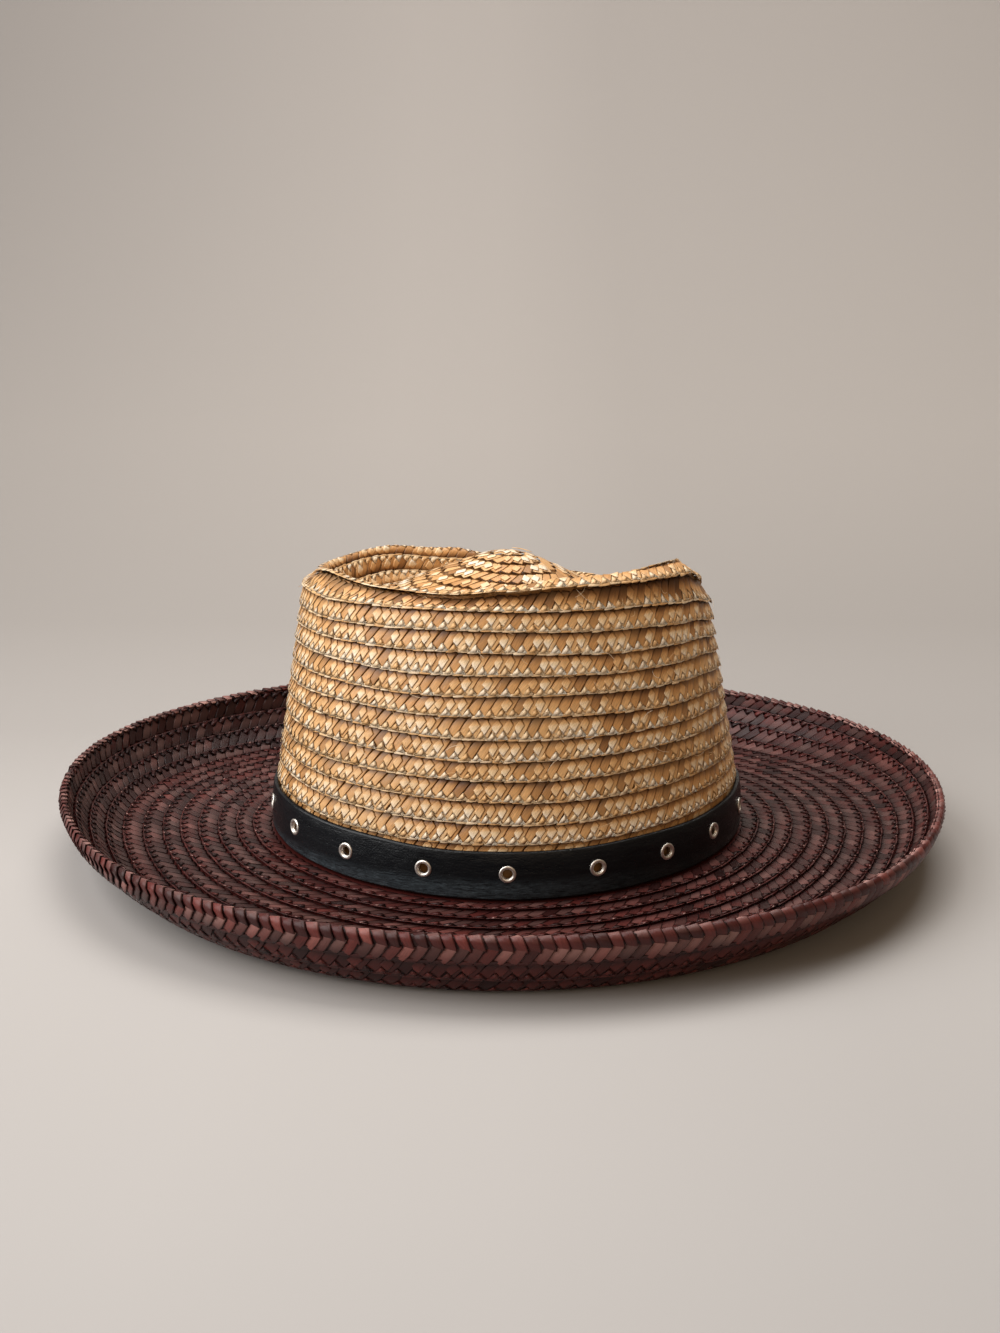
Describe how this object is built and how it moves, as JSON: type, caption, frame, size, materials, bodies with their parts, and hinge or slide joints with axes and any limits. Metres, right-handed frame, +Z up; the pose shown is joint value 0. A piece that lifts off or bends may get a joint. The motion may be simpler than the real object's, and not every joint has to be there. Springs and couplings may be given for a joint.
{
  "type": "straw hat",
  "caption": "Sewn-braid straw hat: natural crown with a dented telescope top, dyed brim turned up at its edge, and a leather band with metal eyelets.",
  "frame": {"origin": "on the surface that the brim rests on, below the middle of the hat's bounding box", "axes": "+X along the oval's long axis, +Z up out of the crown, the side that the picture shows towards -Y"},
  "size_m": [0.3831, 0.3558, 0.131],
  "materials": {
    "natural_straw": "glossy natural wheat straw braid",
    "dyed_straw": "dyed wheat straw braid, half matt",
    "black_leather": "smooth black leather with a soft shine",
    "nickel": "nickel-plated, a little worn"
  },
  "bodies": {
    "root": {"crown": "natural_straw", "brim": "dyed_straw", "band": "black_leather", "eyelet_01": "nickel", "eyelet_02": "nickel", "eyelet_03": "nickel", "eyelet_04": "nickel", "eyelet_05": "nickel", "eyelet_06": "nickel", "eyelet_07": "nickel", "eyelet_08": "nickel", "eyelet_09": "nickel", "eyelet_10": "nickel", "eyelet_11": "nickel", "eyelet_12": "nickel", "eyelet_13": "nickel", "eyelet_14": "nickel", "eyelet_15": "nickel", "eyelet_16": "nickel", "eyelet_17": "nickel", "eyelet_18": "nickel"}
  },
  "joints": []
}
